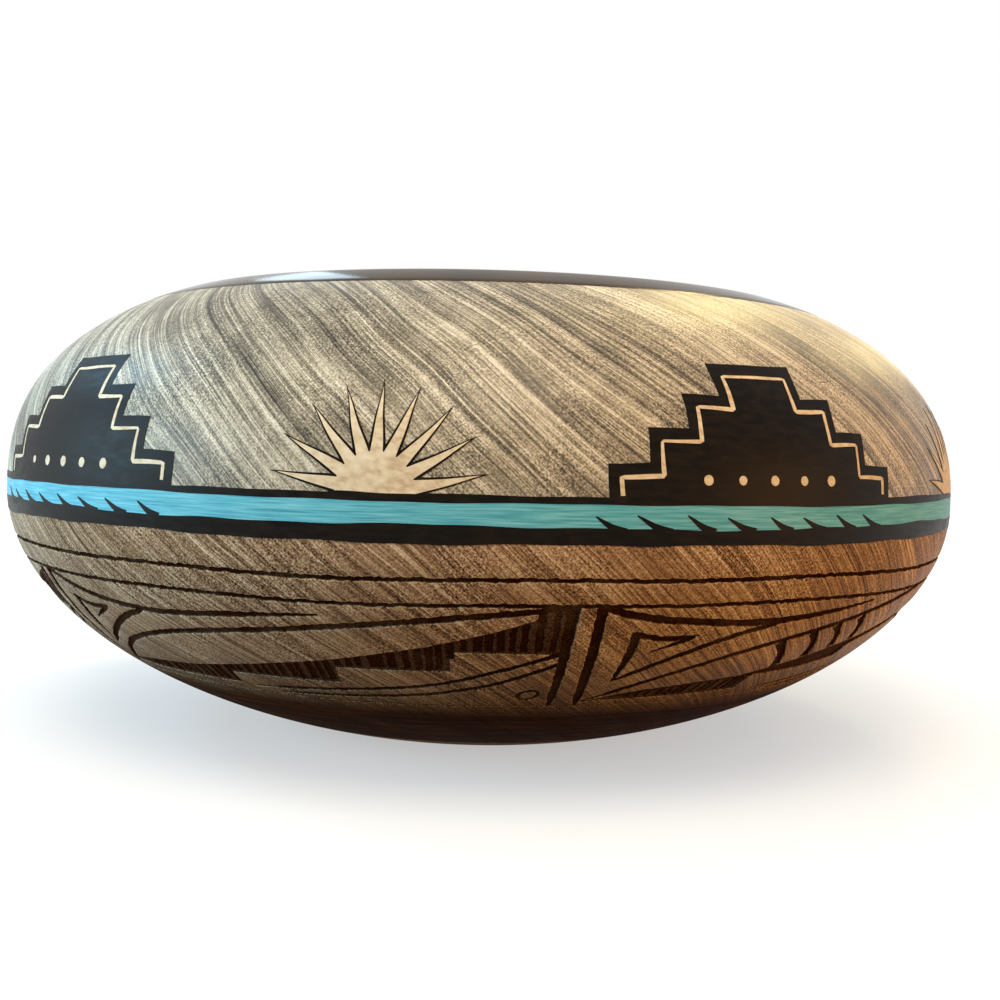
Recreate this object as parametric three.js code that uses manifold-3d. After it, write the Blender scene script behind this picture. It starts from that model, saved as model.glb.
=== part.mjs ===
// A low, closed-mouthed earthenware pot: a thrown clay body under a brushed slip coat, with a dark glossy
// coat on the lip and a painted band round the shoulder, where stepped terraces and half suns stand.
// Millimetres, +Z up. The origin is the middle of the flat foot, and the front faces -Y.

import * as THREE from "three";
import { mergeVertices } from "three/addons/utils/BufferGeometryUtils.js";
import Module from "manifold-3d";

const wasm = await Module();
wasm.setup();

// Thrown form, measured over the coats
const MAX_DIAMETER = 230;
const HEIGHT = 102.5; // table to the edge where the shoulder turns into the lip
const BELLY_HEIGHT = 55.3; // table to the widest part
const RIM_DIAMETER = 152; // across the edge where the shoulder turns into the lip
const FOOT_DIAMETER = 92;
const SHOULDER_FULLNESS = 2.5; // how square the curve from belly to lip is, where 2 is an ellipse
const BELLY_FULLNESS = 1.93; // the same for the curve from belly to foot
const WALL = 6; // wall, lip and floor, with the coats

// Coats
const SLIP = 0.8; // slip and rim coat
const PAINT = 0.3; // painted bands and motifs
const BOND_GAP = 0.2; // between a coat and what it lies on
const EDGE_GAP = 0.3; // between two coats side by side
const BARE_HEEL = 4; // clay left bare above the table
const RIM_COAT_DROP = 3.7; // rim coat on the shoulder, down from the lip's edge
const RIM_COAT_INSIDE = 7; // rim coat inside the mouth, down from the lip's edge

// Two rings scored into the slip below the painted band
const UPPER_RING_DROP = 10.3; // below the widest part
const RING_SPACING = 4.7;
const RING_WIDTH = 1.2;
const RING_DEPTH = 0.45;

// Painted band, from its top edge down
const BAND_RISE = 4.3; // top edge above the widest part
const SKYLINE_LINE = 1.3;
const STRIPE = 4;
const GROUND_BAND = 3;

// Motifs above the band, in equal turns round the pot
const MOTIFS = 5;
const FRONT_TERRACE_TURN = 27; // degrees to the right of the front
const TERRACE_WIDTH = 64;
const TERRACE_STEPS = 4;
const TERRACE_RISE = 6;
const TERRACE_RUN = 7.5;
const SUN_RADIUS = 7;
const SUN_RAYS = 9;
const RAY_LENGTH = 11;
const RAY_WIDTH = 2.2;

// Facets
const TURN_SEGMENTS = 56;
const FLANK_STEPS = 12;
const LOWER_SLIP_STEPS = 5;
const BAND_STEPS = 2;
const INSIDE_STEPS = 10;
const RIM_STEPS = 2;
const LIP_STEPS = 4;
const HEEL_STEPS = 2;
const SHOULDER_STEPS = 7;
const STRIPE_STEPS = 1;

const RADIUS = MAX_DIAMETER / 2;
const COAT = SLIP + BOND_GAP;
const RIM_COAT_EDGE = HEIGHT - RIM_COAT_DROP;
const UPPER_RING = BELLY_HEIGHT - UPPER_RING_DROP;
const LOWER_RING = UPPER_RING - RING_SPACING;
const SLIP_TOP = RIM_COAT_EDGE - EDGE_GAP;
const BAND_TOP = BELLY_HEIGHT + BAND_RISE;
const SKYLINE_FOOT = BAND_TOP - SKYLINE_LINE;

// The flank of the pot is a quarter superellipse from the widest circle to a smaller end circle
function flank(endRadius, endRise, fullness) {
  const reach = endRise / (1 - (endRadius / RADIUS) ** fullness) ** (1 / fullness);
  return (rise) => {
    const across = (1 - (rise / reach) ** fullness) ** (1 / fullness);
    const outward = across ** (fullness - 1) / RADIUS;
    const along = (rise / reach) ** (fullness - 1) / reach;
    const length = Math.hypot(outward, along);
    return { r: RADIUS * across, nr: outward / length, nz: along / length };
  };
}

const shoulder = flank(RIM_DIAMETER / 2, HEIGHT - BELLY_HEIGHT, SHOULDER_FULLNESS);
const belly = flank(FOOT_DIAMETER / 2, BELLY_HEIGHT, BELLY_FULLNESS);

// A point of the outside with its outward normal
function surfaceAt(z) {
  if (z >= BELLY_HEIGHT) {
    return { ...shoulder(z - BELLY_HEIGHT), z };
  }
  const { r, nr, nz } = belly(BELLY_HEIGHT - z);
  return { r, z, nr, nz: -nz };
}

// Height as an angle, so that even steps of it follow the curve evenly
function angleAt(z) {
  const rise = z - BELLY_HEIGHT;
  return Math.asin(rise / (rise < 0 ? BELLY_HEIGHT : HEIGHT - BELLY_HEIGHT));
}

function heightAt(angle) {
  return BELLY_HEIGHT + Math.sin(angle) * (angle < 0 ? BELLY_HEIGHT : HEIGHT - BELLY_HEIGHT);
}

// The outside between two heights
function stretch(low, high, steps) {
  const start = angleAt(low);
  const turn = angleAt(high) - start;
  return Array.from({ length: steps + 1 }, (_, i) => surfaceAt(heightAt(start + (turn * i) / steps)));
}

// Moves points along their normals
function offset(points, distance) {
  return points.map(({ r, z, nr, nz }) => ({ r: r + distance * nr, z: z + distance * nz, nr, nz }));
}

// The inside of the wall behind an outside stretch, from its top down
function inside(points) {
  const turned = offset(points, -WALL).map(({ r, z, nr, nz }) => ({ r, z, nr: -nr, nz: -nz }));
  return turned.reverse();
}

// The half round over the lip, between the outside and the inside
function lip() {
  const edge = surfaceAt(HEIGHT);
  const radius = WALL / 2;
  const middle = { r: edge.r - radius * edge.nr, z: edge.z - radius * edge.nz };
  return Array.from({ length: LIP_STEPS - 1 }, (_, i) => {
    const angle = (Math.PI * (i + 1)) / LIP_STEPS;
    const nr = Math.cos(angle) * edge.nr - Math.sin(angle) * edge.nz;
    const nz = Math.cos(angle) * edge.nz + Math.sin(angle) * edge.nr;
    return { r: middle.r + radius * nr, z: middle.z + radius * nz, nr, nz };
  });
}

// The surface that the rim coat makes, up the shoulder, over the lip and into the mouth
function rimSurface(outerEdge, innerEdge) {
  return [
    ...stretch(outerEdge, HEIGHT, RIM_STEPS),
    ...lip(),
    ...inside(stretch(innerEdge, HEIGHT, RIM_STEPS)),
  ];
}

// The slip above the painted stripe, which the skyline and its motifs lie on
const shoulderSlip = stretch(SKYLINE_FOOT, SLIP_TOP, SHOULDER_STEPS);

// Leaves only shared positions, as a closed mesh needs
function welded(geometry) {
  geometry.deleteAttribute("normal");
  geometry.deleteAttribute("uv");
  return mergeVertices(geometry, 1e-4);
}

// Turns a profile about the axis of the pot
function turned(points) {
  const profile = points.map(({ r, z }) => new THREE.Vector2(r, z));
  const geometry = new THREE.LatheGeometry(profile, TURN_SEGMENTS);
  geometry.rotateX(Math.PI / 2);
  return welded(geometry);
}

// A coat between two parallel surfaces
function coat(outer, inner) {
  return turned([...outer, ...inner.toReversed(), outer[0]]);
}

function toSolid(geometry) {
  return new wasm.Manifold(
    new wasm.Mesh({
      numProp: 3,
      vertProperties: Float32Array.from(geometry.attributes.position.array),
      triVerts: Uint32Array.from(geometry.index.array),
    }),
  );
}

function toGeometry(solid) {
  const mesh = solid.getMesh();
  const geometry = new THREE.BufferGeometry();
  geometry.setAttribute("position", new THREE.BufferAttribute(mesh.vertProperties, 3));
  geometry.setIndex(new THREE.BufferAttribute(mesh.triVerts, 1));
  return geometry;
}

// The thrown body: its outside is set back under the coats, and bare at the heel, inside and underneath
function clayBody() {
  const rimInnerEdge = HEIGHT - RIM_COAT_INSIDE;
  const coated = [
    ...stretch(BARE_HEEL, RIM_COAT_EDGE, FLANK_STEPS).slice(0, -1),
    ...rimSurface(RIM_COAT_EDGE, rimInnerEdge),
  ];
  return turned([
    { r: 0, z: 0 },
    ...stretch(0, BARE_HEEL, HEEL_STEPS),
    ...offset(coated, -COAT),
    ...inside(stretch(0, rimInnerEdge, INSIDE_STEPS)),
    { r: 0, z: WALL },
  ]);
}

// The brushed slip, with the two scored rings turned into it
function slipCoat() {
  const low = BARE_HEEL + EDGE_GAP;
  const scored = (z) => offset([surfaceAt(z)], -RING_DEPTH);
  const half = RING_WIDTH / 2;
  const outer = [
    ...stretch(low, LOWER_RING - half, LOWER_SLIP_STEPS),
    ...scored(LOWER_RING),
    ...stretch(LOWER_RING + half, UPPER_RING - half, 1),
    ...scored(UPPER_RING),
    ...stretch(UPPER_RING + half, SKYLINE_FOOT, BAND_STEPS).slice(0, -1),
    ...shoulderSlip,
  ];
  return coat(outer, offset(stretch(low, SLIP_TOP, FLANK_STEPS), -SLIP));
}

function rimCoat() {
  const surface = rimSurface(RIM_COAT_EDGE, HEIGHT - RIM_COAT_INSIDE + EDGE_GAP);
  return coat(surface, offset(surface, -SLIP));
}

// The space that paint fills on a stretch of slip
function paintLayer(surface) {
  return coat(offset(surface, BOND_GAP + PAINT), offset(surface, BOND_GAP));
}

// A prism from the axis outward through a motif drawn as seen from the front
function motifPrism(shape, height, turn) {
  const geometry = new THREE.ExtrudeGeometry(shape, { depth: MAX_DIAMETER, bevelEnabled: false });
  geometry.rotateX(Math.PI / 2);
  geometry.translate(0, 0, height);
  geometry.rotateZ(turn);
  return toSolid(welded(geometry));
}

// A stepped terrace whose foot is sunk into the skyline's line
function terraceShape(foot) {
  const shape = new THREE.Shape();
  const half = TERRACE_WIDTH / 2;
  shape.moveTo(half, -foot);
  for (let step = 0; step < TERRACE_STEPS; step += 1) {
    shape.lineTo(half - step * TERRACE_RUN, (step + 1) * TERRACE_RISE);
    shape.lineTo(half - Math.min(step + 1, TERRACE_STEPS - 1) * TERRACE_RUN, (step + 1) * TERRACE_RISE);
  }
  for (let step = TERRACE_STEPS - 1; step >= 0; step -= 1) {
    shape.lineTo(step * TERRACE_RUN - half, (step + 1) * TERRACE_RISE);
    shape.lineTo(step * TERRACE_RUN - half, step === 0 ? -foot : step * TERRACE_RISE);
  }
  return shape;
}

// A half disc with pointed rays
function sunShape() {
  const shape = new THREE.Shape();
  const spread = RAY_WIDTH / 2 / SUN_RADIUS;
  const at = (radius, angle) => [radius * Math.cos(angle), radius * Math.sin(angle)];
  shape.moveTo(SUN_RADIUS, 0);
  for (let ray = 0; ray < SUN_RAYS; ray += 1) {
    const angle = (Math.PI * (ray + 0.5)) / SUN_RAYS;
    shape.lineTo(...at(SUN_RADIUS, angle - spread));
    shape.lineTo(...at(SUN_RADIUS + RAY_LENGTH, angle));
    shape.lineTo(...at(SUN_RADIUS, angle + spread));
  }
  shape.lineTo(-SUN_RADIUS, 0);
  return shape;
}

function motifTurn(index) {
  return THREE.MathUtils.degToRad(FRONT_TERRACE_TURN + (360 * index) / MOTIFS);
}

// Paint over the whole shoulder, which the motifs are cut from
const shoulderPaint = toSolid(paintLayer(shoulderSlip));

// The black line along the top of the band, with a terrace standing on it at each turn
function skyline() {
  const shape = terraceShape(SKYLINE_LINE);
  let painted = toSolid(turned([
    { r: 0, z: 0 },
    { r: MAX_DIAMETER, z: 0 },
    { r: MAX_DIAMETER, z: BAND_TOP },
    { r: 0, z: BAND_TOP },
  ]));
  for (let index = 0; index < MOTIFS; index += 1) {
    painted = painted.add(motifPrism(shape, BAND_TOP, motifTurn(index)));
  }
  return toGeometry(shoulderPaint.intersect(painted));
}

// A half sun between two terraces
function sun(index) {
  const prism = motifPrism(sunShape(), BAND_TOP + EDGE_GAP, motifTurn(index + 0.5));
  return toGeometry(shoulderPaint.intersect(prism));
}

function finish(colour, roughness) {
  return new THREE.MeshStandardMaterial({ color: colour, roughness, metalness: 0 });
}

const bareClay = finish("#b98a63", 0.85);
const brushedSlip = finish("#8b7059", 0.5);
const rimBrown = finish("#2e1d14", 0.2);
const blackPaint = finish("#17130f", 0.45);
const turquoisePaint = finish("#2f8a86", 0.5);
const palePaint = finish("#d9c4a0", 0.6);

const pot = new THREE.Group();

function addPiece(name, geometry, material) {
  const mesh = new THREE.Mesh(geometry, material);
  mesh.name = name;
  pot.add(mesh);
}

const stripeFoot = SKYLINE_FOOT - STRIPE;
const stripe = stretch(stripeFoot, SKYLINE_FOOT - EDGE_GAP, STRIPE_STEPS);
const groundBand = stretch(stripeFoot - GROUND_BAND, stripeFoot - EDGE_GAP, STRIPE_STEPS);

addPiece("clay_body", clayBody(), bareClay);
addPiece("slip_coat", slipCoat(), brushedSlip);
addPiece("rim_coat", rimCoat(), rimBrown);
addPiece("black_skyline", skyline(), blackPaint);
addPiece("turquoise_stripe", paintLayer(stripe), turquoisePaint);
addPiece("black_ground_band", paintLayer(groundBand), blackPaint);
for (let index = 0; index < MOTIFS; index += 1) {
  addPiece(`sun_${index + 1}`, sun(index), palePaint);
}

export default pot;
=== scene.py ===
import math

import bmesh
import bpy
import numpy as np
from mathutils import Matrix, Vector, kdtree
from mathutils.geometry import delaunay_2d_cdt


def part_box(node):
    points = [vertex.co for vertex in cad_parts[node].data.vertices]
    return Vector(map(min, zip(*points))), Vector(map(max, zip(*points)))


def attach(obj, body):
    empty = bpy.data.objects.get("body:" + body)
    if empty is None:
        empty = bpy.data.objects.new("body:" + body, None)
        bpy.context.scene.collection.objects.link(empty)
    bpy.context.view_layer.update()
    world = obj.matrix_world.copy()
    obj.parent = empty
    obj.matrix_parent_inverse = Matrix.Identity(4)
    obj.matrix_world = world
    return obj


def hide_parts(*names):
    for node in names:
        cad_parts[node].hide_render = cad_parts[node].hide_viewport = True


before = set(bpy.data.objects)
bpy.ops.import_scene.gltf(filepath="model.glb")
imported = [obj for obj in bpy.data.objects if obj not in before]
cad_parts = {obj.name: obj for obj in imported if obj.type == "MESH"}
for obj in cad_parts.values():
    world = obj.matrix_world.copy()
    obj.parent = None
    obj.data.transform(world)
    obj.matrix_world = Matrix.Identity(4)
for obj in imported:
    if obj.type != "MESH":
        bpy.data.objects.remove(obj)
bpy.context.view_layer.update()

# Sizes are in millimetres unless a name says otherwise, and turns are to the right of the front
MM = 0.001

# Thrown form, measured over the coats
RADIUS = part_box("slip_coat")[1].x / MM
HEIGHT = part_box("rim_coat")[1].z / MM
BELLY_HEIGHT = 55.3
RIM_RADIUS = 76
FOOT_RADIUS = 46
SHOULDER_FULLNESS = 2.5
BELLY_FULLNESS = 1.93
WALL = 6
LIP_SHY = 0.18  # how far the lip stays inside a full half round
LIP_RADIUS = WALL / 2 - LIP_SHY
LIP_MARGIN = 0.4  # arc kept for the turn from the shoulder into the lip
OUT_OF_ROUND = 0.003  # greatest draw-in of the wall, as a share of its radius
OVAL_PHASE = 0.6
LOBE_TWIST = 20  # rise for a radian's shift of its three lobes

# Bare clay
BARE_HEEL = 4
FOOT_CHAMFER = 1
FOOT_RING_DEPTH = 0.3
FOOT_RING_WAVE = 1.4  # radians for each millimetre of radius
HEEL_ARC = 0.4  # arcs at which the wall starts, outside and inside
FLOOR_ARC = 0.5
FLOOR_RISE = 0.2
INSIDE_SHY = 0.3  # keeps the throwing marks within the wall
SPIRAL_DEPTH = 0.25
SPIRAL_PITCH = 6.5
SPIRAL_FADE_LOW = 20  # arc over which it fades near the floor, and what is left of it there
SPIRAL_LEFT_LOW = 0.4
SPIRAL_FADE_HIGH = 10
SWIRL_DEPTH = 0.22
SWIRL_PITCH = 5
SWIRL_FADES = (0, 6, 30, 36)  # radii between which it comes and goes

# Coats
SLIP = 0.8
BOND_GAP = 0.2
RIM_EDGE_HEIGHT = HEIGHT - 3.7
RIM_INSIDE_HEIGHT = HEIGHT - 7
RIM_INSIDE_PROUD = 0.12
RIM_EDGE_RUN = 0.6  # arc over which the rim coat thickens from its edge
RIM_PROUD = (0.02, 0.1, -0.16)  # over the slip: at that edge, after that run and at the lip
COAT_LAP = 0.4  # how far the rim coat laps over the slip
BARE_GAP = 0.1  # arc from the end of the rim coat inside to the bare clay

# Paint
STRIPE_LIFT = 0.04
BLACK_LIFT = 0.08
PALE_LIFT = 0.12
PAINT_SUNK = 0.1  # how far a sheet of paint reaches into what it lies on
SKYLINE_SWAY = 0.12  # how far a hand-painted edge wanders
STRIPE_SWAY = 0.05
GROUND_SWAY = 0.2
TERRACE_HAND = (0.16, 5)  # how far an edge wanders, and over what length
SUN_HAND = (0.12, 4)
HAND_WAVES = (  # for each axis: rate along the other axis, rate along its own, height
    ((1, 0.11, 1), (2.7, -0.3, 0.5)),
    ((1, 0.07, 1), (2.3, 0.2, 0.5)),
)

# Painted band and the motifs that stand on it
BAND_TOP = BELLY_HEIGHT + 4.3
SKYLINE_FOOT = BAND_TOP - 1.3
STRIPE_FOOT = SKYLINE_FOOT - 4
GROUND_FOOT = STRIPE_FOOT - 3
STRIPE_LAP_LOW = 0.5  # how far the stripe goes under those lines
STRIPE_LAP_HIGH = 0.4
BAND_WAVES = ((7, 1, 1), (19, 0.6, 2), (43, 0.4, 1))  # waves round the pot, height, times the phase
BAND_PHASES = (0, 1.7)  # of the lower and the upper edge
MOTIFS = 5
FRONT_TERRACE_TURN = math.radians(27)
TERRACE_WIDTH = 64
TERRACE_STEPS = 4
TERRACE_RISE = 6
TERRACE_RUN = 7.5
TERRACE_SINK = 1  # how far its foot goes under the band's top
TRIM_INSET = 2.3
TRIM_FOOT = 0.6
TRIM_HALF_WIDTH = 0.34
TRIM_SWELL = 0.1
TRIM_SWELL_LENGTHS = (3.1, 7.7)
DOTS = 5
DOT_SPACING = 7
DOT_RISE = 3.2
DOT_RADII = (0.75, 1.05)
SUN_RADIUS = 7
SUN_RAYS = 9
SUN_EDGING = 0.7
RAY_LENGTH = 11
RAY_WIDTH = 2.2
RAY_EDGING_SHARE = 0.6  # edging along a ray's sides, as a share of the disc's
FLICKS = 8  # brush marks under a terrace
FLICK_DEGREES = 4.2
FLICK_LENGTH = 5
FLICK_LENGTH_SPREAD = 0.6
FLICK_RISE = 2.8
FLICK_RISE_SPREAD = 0.3
FLICK_ROOT = 0.7  # how far below the stripe it starts
FLICK_BEND = (0.45, 0.35)  # shares of length and rise at its bend
FLICK_HALF_WIDTHS = (0.9, 0.12)

# Carving
FLAT_RADIUS = 100  # radius at which the wall is unrolled to draw on it
CARVED_LOW = 44.5  # lowest and highest arc of the carved zone
CARVED_HIGH = 91.7
RINGS = ((83.6, 0.95, True), (78.5, 0.95, True), (48, 0.6, False))  # arc, width, chipped edges
RING_SWAYS = ((0.25, 5, 0), (0.15, 11, 1))  # height, waves round the pot, phase
CUT_DEPTH = 0.5
CUT_BEVEL = 0.13
CUT_RAGGED = 0.15
CUT_LEAST = 0.06  # least half width of a cut's floor
TAPERED_END = 0.35  # width at a tapered or a flared end, as a share of the whole
FLARED_END = 1.45
CHIP_WIDTH = 0.24  # pale chipped edge along a cut
CHIP_WIDTHS = (0.3, 1.3)  # least and greatest, as shares of that
CHIP_LEVEL = 0.1  # depth of the chips, as a share of a cut's
PIT_LEVEL = 0.55  # depth of a hatched ground, as a share of a cut's
PIT_RAGGED = 0.08
WEDGE_LEVEL = 0.9
GOUGE_PITCH = 2.1
GOUGE_WIDTH = 1.5
GOUGE_WIDTHS = (0.75, 1.2)  # least and greatest, as shares of that
GOUGE_SHIFT = 0.4
GOUGE_BOW = 0.12
GOUGE_CLEAR = 0.3  # from the ends of a gouge to the edges of its ground
GOUGE_LEAST = 1.3  # least height of the ground for a gouge
GOUGE_MARGINS = (0.8, 0.5)  # at the left and the right of the ground

# Fineness of the meshes
COLUMNS = 480
CLAY_COLUMNS = 192
FOOT_ROWS = 46
FLOOR_ROWS = 40
HEEL_GRID = 0.6
COATED_GRID = 6
BARE_GRID = 1
RIM_GRID = 1
LIP_ROWS = 13
SLIP_FOOT_GRID = 2
SLIP_BACK_GRID = 12
WALL_GRID = 1.6
WALL_CLEAR = 0.5  # least distance of a grid point from an outline
PAINT_GRID = 2.4
PAINT_CLEAR = 0.7
PAINT_STEP = 1.2  # along the sides of painted shapes
TRIM_CORNER_STEP = 0.3
TRIM_STEP = 0.5
FLICK_STEP = 0.6
DOT_POINTS = 12
CUT_STEP = 0.75
PIT_STEP = CUT_STEP * 1.3
CURVE_POINTS = 20  # for each span between given points
CORNERS_APART = 0.13
MITRE_LIMIT = 2  # most that a corner moves, over its sides, as an outline is drawn in
HAIRPIN = 0.3  # least length taken for the bisector of a corner
MERGE_TOLERANCE = 1e-4
WELD_METRES = 2e-6
SHARP_ANGLE = math.radians(38)

rng = np.random.default_rng(11)


# The wall as a turned surface

def flank(end_radius, end_rise, fullness, rise):
    """Radius at a rise from the widest circle, on the curve to a smaller end circle."""
    reach = end_rise / (1 - (end_radius / RADIUS) ** fullness) ** (1 / fullness)
    return RADIUS * (1 - (rise / reach) ** fullness) ** (1 / fullness)


def wall_table(steps=4000):
    """Height, radius, arc length from the foot and outward normal, up the outside."""
    height = np.linspace(0, HEIGHT, steps + 1)
    fall = np.clip(BELLY_HEIGHT - height, 0, None)
    rise = np.clip(height - BELLY_HEIGHT, 0, None)
    belly = flank(FOOT_RADIUS, BELLY_HEIGHT, BELLY_FULLNESS, fall)
    shoulder = flank(RIM_RADIUS, HEIGHT - BELLY_HEIGHT, SHOULDER_FULLNESS, rise)
    radius = np.where(height < BELLY_HEIGHT, belly, shoulder)
    arc = np.concatenate([[0], np.cumsum(np.hypot(np.diff(height), np.diff(radius)))])
    return height, radius, arc, np.gradient(height, arc), -np.gradient(radius, arc)


WALL_HEIGHT, WALL_RADIUS, WALL_ARC, WALL_OUT, WALL_UP = wall_table()
LIP_ARC = WALL_ARC[-1]


def arc_at(height):
    return np.interp(height, WALL_HEIGHT, WALL_ARC)


def section(arc, lift=0.0):
    """Radius and height of the wall at an arc length up from the foot, lifted along its normal."""
    radius = np.interp(arc, WALL_ARC, WALL_RADIUS) + lift * np.interp(arc, WALL_ARC, WALL_OUT)
    height = np.interp(arc, WALL_ARC, WALL_HEIGHT) + lift * np.interp(arc, WALL_ARC, WALL_UP)
    return radius, height


def spin(turn, radius, height):
    """Points in metres. The pot is a little out of round, always inwards of the true circle."""
    oval = np.sin(2 * turn + OVAL_PHASE)
    lobes = np.sin(3 * turn + height / LOBE_TWIST)
    drawn = radius * (1 - OUT_OF_ROUND * (2 + oval + lobes) / 4)
    x, y, z = np.broadcast_arrays(drawn * np.sin(turn), -drawn * np.cos(turn), height)
    return np.stack([x, y, z], axis=-1) * MM


def place(turn, arc, lift):
    return spin(turn, *section(arc, lift))


def even_arcs(low, high, step):
    return np.linspace(low, high, max(2, round(abs(high - low) / step) + 1))


# Meshes

def columns_round(columns):
    return SEAM_TURN + np.arange(columns) * 2 * math.pi / columns


def turned_patch(columns, radius, height, arcs):
    """Quads from a profile of radii and heights, which may also vary round the pot."""
    rows = len(arcs)
    turn = columns_round(columns)[None, :]
    points = spin(turn, radius.reshape(rows, -1), height.reshape(rows, -1))
    start = np.arange(rows - 1)[:, None] * columns + np.arange(columns)
    after = np.arange(rows - 1)[:, None] * columns + (np.arange(columns) + 1) % columns
    faces = np.stack([start, after, after + columns, start + columns], axis=-1).reshape(-1, 4)
    return {
        "points": points.reshape(-1, 3),
        "faces": faces.tolist(),
        "arc": np.repeat(arcs, columns),
        "carve": np.zeros(rows * columns),
    }


def put_in_scene(name, data):
    holder = bpy.data.objects.new(name, data)
    bpy.context.scene.collection.objects.link(holder)
    return holder


def build(name, patches, materials, thickness=0.0):
    """One piece from patches whose edges meet, a material each. A thickness closes an open sheet."""
    mesh = bpy.data.meshes.new(name)
    starts = np.cumsum([0] + [len(patch["points"]) for patch in patches])
    kinds = list(dict.fromkeys(materials))
    faces = []
    worn = []
    for start, patch, material in zip(starts, patches, materials):
        faces += [[start + corner for corner in face] for face in patch["faces"]]
        worn += [kinds.index(material)] * len(patch["faces"])
    mesh.from_pydata(np.concatenate([patch["points"] for patch in patches]).tolist(), [], faces)
    for material in kinds:
        mesh.materials.append(material)
    mesh.polygons.foreach_set("material_index", worn)
    for label in ("arc", "carve"):
        values = np.concatenate([patch[label] for patch in patches])
        layer = mesh.attributes.new(label, "FLOAT", "POINT")
        layer.data.foreach_set("value", values.astype(np.float32))
    shape = bmesh.new()
    shape.from_mesh(mesh)
    bmesh.ops.remove_doubles(shape, verts=shape.verts, dist=WELD_METRES)
    if thickness:
        bmesh.ops.solidify(shape, geom=shape.faces[:], thickness=thickness * MM)
    bmesh.ops.recalc_face_normals(shape, faces=shape.faces)
    shape.to_mesh(mesh)
    shape.free()
    mesh.shade_smooth()
    mesh.set_sharp_from_angle(angle=SHARP_ANGLE)
    return put_in_scene(name, mesh)


def dress(piece, slot, *nodes):
    """A piece rides with the pot and stands for the solids it covers. Its finish slot is not used."""
    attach(piece, "root")
    if nodes:
        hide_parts(*nodes)


# Drawing on the unrolled wall, as distance round it and arc up it

def pairs(x, y):
    return np.stack([x, y], axis=1)


def evenly(points, step):
    """A line of straight spans with points at an even step, and the distance along it."""
    run = np.concatenate([[0], np.cumsum(np.linalg.norm(np.diff(points, axis=0), axis=1))])
    distance = np.linspace(0, run[-1], max(3, round(run[-1] / step) + 1))
    return np.stack([np.interp(distance, run, axis) for axis in points.T], axis=1), distance


def curve(points, step):
    """A smooth line through given points at an even step, and the distance along it."""
    given = np.asarray(points, float)
    given = np.vstack([2 * given[0] - given[1], given, 2 * given[-1] - given[-2]])
    t = np.linspace(0, 1, CURVE_POINTS, endpoint=False)[:, None]
    spans = []
    for a, b, c, d in zip(given, given[1:], given[2:], given[3:]):
        slope = (c - a) / 2
        bend = a - 2.5 * b + 2 * c - d / 2
        twist = 1.5 * (b - c) + (d - a) / 2
        spans.append(b + slope * t + bend * t**2 + twist * t**3)
    return evenly(np.vstack([*spans, given[-2:-1]]), step)


def directions(line):
    along = np.gradient(line, axis=0)
    return along / np.linalg.norm(along, axis=1, keepdims=True)


def ribbon(line, right, left):
    """The closed outline of a stroke with a width to the right and left of its line."""
    along = directions(line)
    across = pairs(-along[:, 1], along[:, 0])
    return np.vstack([line - across * right[:, None], (line + across * left[:, None])[::-1]])


def inset(outline, distance):
    """A closed outline drawn in by a distance."""
    before = outline - np.roll(outline, 1, axis=0)
    after = np.roll(outline, -1, axis=0) - outline
    before /= np.linalg.norm(before, axis=1, keepdims=True)
    after /= np.linalg.norm(after, axis=1, keepdims=True)
    bisector = before + after
    bisector /= np.maximum(np.linalg.norm(bisector, axis=1, keepdims=True), HAIRPIN)
    inward = pairs(-bisector[:, 1], bisector[:, 0])
    stretch = 1 / np.clip(np.sum(bisector * after, axis=1), 1 / MITRE_LIMIT, 1)
    return outline + inward * distance * stretch[:, None]


def subdivided(corners, step, ragged=0.0):
    """A closed outline with straight sides, with points at an even step and a little roughness."""
    pieces = []
    for a, b in zip(corners, np.roll(corners, -1, axis=0)):
        count = max(1, round(np.linalg.norm(b - a) / step))
        pieces.append(a + (b - a) * np.arange(count)[:, None] / count)
    outline = np.vstack(pieces)
    return outline + rng.uniform(-ragged, ragged, outline.shape)


def cut(points, width, tapers=(0, 0), chipped=True):
    """A carved line: outlines of its chipped edge, its sides and its floor, each with its depth.

    Tapers are the lengths over which its ends narrow, or widen where the length is negative.
    """
    line, distance = curve(points, CUT_STEP)
    half = np.full(len(line), width / 2)
    for length, reach in zip(tapers, (distance, distance[-1] - distance)):
        if length:
            half *= np.interp(reach, [0, abs(length)], [TAPERED_END if length > 0 else FLARED_END, 1])
    right = half + rng.uniform(-CUT_RAGGED, CUT_RAGGED, len(line))
    left = half + rng.uniform(-CUT_RAGGED, CUT_RAGGED, len(line))
    along = directions(line)
    floor = line.copy()
    floor[0] += along[0] * CUT_BEVEL
    floor[-1] -= along[-1] * CUT_BEVEL
    narrow = [np.maximum(side - CUT_BEVEL, CUT_LEAST) for side in (right, left)]
    wide = [np.maximum(side, CUT_LEAST + CUT_BEVEL) for side in (right, left)]
    outlines = [(ribbon(line, *wide), CHIP_LEVEL if chipped else 0.0), (ribbon(floor, *narrow), 1.0)]
    if chipped:
        chips = [side + CHIP_WIDTH * rng.uniform(*CHIP_WIDTHS, len(line)) for side in wide]
        outlines.append((ribbon(line, *chips), 0.0))
    return outlines


def all_round(columns):
    """Distances round the unrolled wall, from the seam to the seam."""
    return np.linspace(SEAM_TURN, SEAM_TURN + 2 * math.pi, columns + 1) * FLAT_RADIUS


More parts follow.
